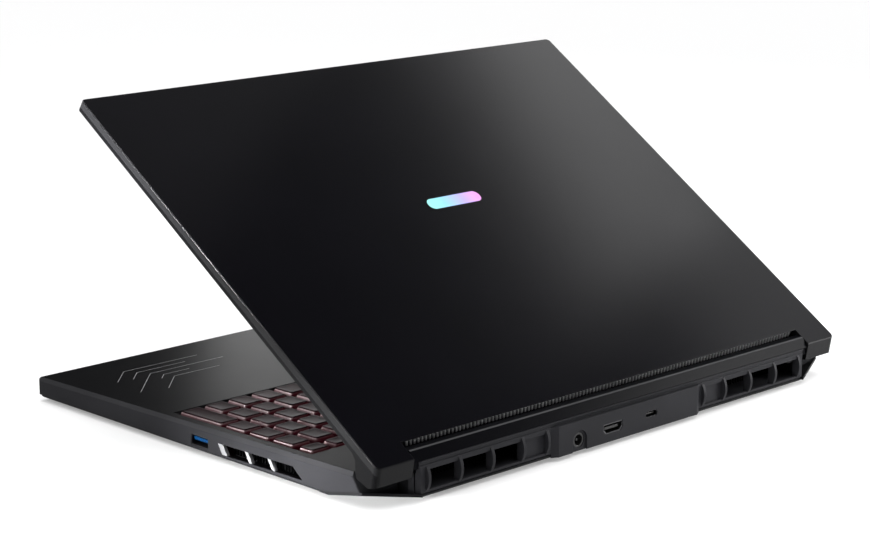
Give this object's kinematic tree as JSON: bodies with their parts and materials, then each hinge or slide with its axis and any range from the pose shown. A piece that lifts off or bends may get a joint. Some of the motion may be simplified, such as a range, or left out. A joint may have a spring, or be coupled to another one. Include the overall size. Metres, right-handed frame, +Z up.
{
  "type": "laptop computer",
  "caption": "Laptop with a hinged lid held part open, full keyboard with number pad, touchpad, side vents, and a rear exhaust housing with power, video and data ports.",
  "frame": {"origin": "middle of the footprint, on the surface that the rubber feet stand on", "axes": "+X to the user's right along the width, +Y to the rear with the hinge, +Z up"},
  "size_m": [0.36, 0.279, 0.1748],
  "materials": {
    "case_grey": "fine matte texture",
    "case_black": "soft matte black",
    "housing_grey": "matte dark grey",
    "bezel_black": "fine texture",
    "screen": "anti-glare black",
    "touch_surface": "smooth satin",
    "key_plastic": "matte, lit from below",
    "plate_dark": "dark, red backlight",
    "rib_silver": "satin silver",
    "rubber": "matte rubber",
    "steel": "plain steel",
    "port_metal": "plated steel",
    "port_black": "moulded black",
    "usb_blue": "moulded blue",
    "board_green": "solder mask",
    "chip_black": "matte black",
    "copper": "bare copper",
    "fin_metal": "bare aluminium",
    "fan_black": "moulded black",
    "emblem": "pearly colour-shift inlay"
  },
  "bodies": {
    "base": {"top_case": "case_grey", "bottom_cover": "case_black", "hinge_cover": "case_black", "rear_housing": "housing_grey", "keyboard_plate": "plate_dark", "switch_membrane": "plate_dark", "touchpad_bracket": "plate_dark", "side_vent_ribs": "rib_silver", "rubber_feet": "rubber", "bottom_screws": "steel", "hinge_brackets": "steel", "hinge_screws": "steel", "dc_jack_pin": "steel", "usb_a_ports": "port_metal", "hdmi_port": "port_metal", "usb_c_port": "port_metal", "port_tongues": "port_black", "dc_jack": "port_black", "audio_jack": "port_black", "speakers": "port_black", "usb_a_tongues": "usb_blue", "motherboard": "board_green", "memory_modules": "board_green", "ssd_module": "board_green", "wifi_card": "board_green", "processor_chips": "chip_black", "battery_pack": "chip_black", "heat_pipes": "copper", "fin_stacks": "fin_metal", "fan_housings": "fan_black"},
    "lid": {"lid_cover": "case_black", "lid_bezel": "bezel_black", "display_panel": "screen", "webcam_module": "port_black", "lid_gasket": "rubber", "lid_emblem": "emblem", "lid_edge_trim": "case_black", "lid_hinge_arms": "steel"},
    "modifier_keys": {"modifier_keys": "key_plastic"},
    "space_bar": {"space_bar": "key_plastic"},
    "left_arrow_key": {"left_arrow_key": "key_plastic"},
    "down_arrow_key": {"down_arrow_key": "key_plastic"},
    "right_arrow_key": {"right_arrow_key": "key_plastic"},
    "up_arrow_key": {"up_arrow_key": "key_plastic"},
    "bottom_letter_keys": {"bottom_letter_keys": "key_plastic"},
    "home_letter_keys": {"home_letter_keys": "key_plastic"},
    "enter_key": {"enter_key": "key_plastic"},
    "top_letter_keys": {"top_letter_keys": "key_plastic"},
    "number_row_keys": {"number_row_keys": "key_plastic"},
    "backspace_key": {"backspace_key": "key_plastic"},
    "function_row_keys": {"function_row_keys": "key_plastic"},
    "numpad_digit_keys": {"numpad_digit_keys": "key_plastic"},
    "numpad_sign_keys": {"numpad_sign_keys": "key_plastic"},
    "numpad_top_keys": {"numpad_top_keys": "key_plastic"},
    "power_key": {"power_key": "key_plastic"},
    "numpad_enter_key": {"numpad_enter_key": "key_plastic"},
    "touchpad": {"touchpad": "touch_surface"},
    "right_fan_rotor": {"right_fan_rotor": "fan_black"},
    "left_fan_rotor": {"left_fan_rotor": "fan_black"}
  },
  "joints": [
    {"name": "lid_hinge", "type": "hinge", "parent": "base", "child": "lid", "pos_m": [0, 0.1314, 0.01953], "axis": [-1, 0, 0], "range_deg": [-34.59, 100.4]},
    {"name": "modifier_press", "type": "slide", "parent": "base", "child": "modifier_keys", "axis": [0, 0.0168, -0.9999], "range_m": [0, 0.0012], "stiffness_N_per_m": 300, "springref_m": -0.0008},
    {"name": "space_bar_press", "type": "slide", "parent": "base", "child": "space_bar", "axis": [0, 0.0168, -0.9999], "range_m": [0, 0.0012], "stiffness_N_per_m": 300, "springref_m": -0.0008},
    {"name": "left_arrow_press", "type": "slide", "parent": "base", "child": "left_arrow_key", "axis": [0, 0.0168, -0.9999], "range_m": [0, 0.0012], "stiffness_N_per_m": 300, "springref_m": -0.0008},
    {"name": "down_arrow_press", "type": "slide", "parent": "base", "child": "down_arrow_key", "axis": [0, 0.0168, -0.9999], "range_m": [0, 0.0012], "stiffness_N_per_m": 300, "springref_m": -0.0008},
    {"name": "right_arrow_press", "type": "slide", "parent": "base", "child": "right_arrow_key", "axis": [0, 0.0168, -0.9999], "range_m": [0, 0.0012], "stiffness_N_per_m": 300, "springref_m": -0.0008},
    {"name": "up_arrow_press", "type": "slide", "parent": "base", "child": "up_arrow_key", "axis": [0, 0.0168, -0.9999], "range_m": [0, 0.0012], "stiffness_N_per_m": 300, "springref_m": -0.0008},
    {"name": "bottom_letter_press", "type": "slide", "parent": "base", "child": "bottom_letter_keys", "axis": [0, 0.0168, -0.9999], "range_m": [0, 0.0012], "stiffness_N_per_m": 300, "springref_m": -0.0008},
    {"name": "home_letter_press", "type": "slide", "parent": "base", "child": "home_letter_keys", "axis": [0, 0.0168, -0.9999], "range_m": [0, 0.0012], "stiffness_N_per_m": 300, "springref_m": -0.0008},
    {"name": "enter_press", "type": "slide", "parent": "base", "child": "enter_key", "axis": [0, 0.0168, -0.9999], "range_m": [0, 0.0012], "stiffness_N_per_m": 300, "springref_m": -0.0008},
    {"name": "top_letter_press", "type": "slide", "parent": "base", "child": "top_letter_keys", "axis": [0, 0.0168, -0.9999], "range_m": [0, 0.0012], "stiffness_N_per_m": 300, "springref_m": -0.0008},
    {"name": "number_row_press", "type": "slide", "parent": "base", "child": "number_row_keys", "axis": [0, 0.0168, -0.9999], "range_m": [0, 0.0012], "stiffness_N_per_m": 300, "springref_m": -0.0008},
    {"name": "backspace_press", "type": "slide", "parent": "base", "child": "backspace_key", "axis": [0, 0.0168, -0.9999], "range_m": [0, 0.0012], "stiffness_N_per_m": 300, "springref_m": -0.0008},
    {"name": "function_row_press", "type": "slide", "parent": "base", "child": "function_row_keys", "axis": [0, 0.0168, -0.9999], "range_m": [0, 0.0012], "stiffness_N_per_m": 300, "springref_m": -0.0008},
    {"name": "numpad_digit_press", "type": "slide", "parent": "base", "child": "numpad_digit_keys", "axis": [0, 0.0168, -0.9999], "range_m": [0, 0.0012], "stiffness_N_per_m": 300, "springref_m": -0.0008},
    {"name": "numpad_sign_press", "type": "slide", "parent": "base", "child": "numpad_sign_keys", "axis": [0, 0.0168, -0.9999], "range_m": [0, 0.0012], "stiffness_N_per_m": 300, "springref_m": -0.0008},
    {"name": "numpad_top_press", "type": "slide", "parent": "base", "child": "numpad_top_keys", "axis": [0, 0.0168, -0.9999], "range_m": [0, 0.0012], "stiffness_N_per_m": 300, "springref_m": -0.0008},
    {"name": "power_press", "type": "slide", "parent": "base", "child": "power_key", "axis": [0, 0.0168, -0.9999], "range_m": [0, 0.0012], "stiffness_N_per_m": 300, "springref_m": -0.0008},
    {"name": "numpad_enter_press", "type": "slide", "parent": "base", "child": "numpad_enter_key", "axis": [0, 0.0168, -0.9999], "range_m": [0, 0.0012], "stiffness_N_per_m": 300, "springref_m": -0.0008},
    {"name": "touchpad_click", "type": "hinge", "parent": "base", "child": "touchpad", "pos_m": [-0.032, -0.04225, 0.0142], "axis": [1, 0, 0], "range_deg": [0, 0.45], "stiffness_Nm_per_rad": 8, "springref_deg": -0.23},
    {"name": "right_fan_spin", "type": "hinge", "parent": "base", "child": "right_fan_rotor", "pos_m": [0.105, 0.067, 0.008], "axis": [0, 0, 1], "continuous": true},
    {"name": "left_fan_spin", "type": "hinge", "parent": "base", "child": "left_fan_rotor", "pos_m": [-0.105, 0.067, 0.008], "axis": [0, 0, 1], "continuous": true}
  ]
}
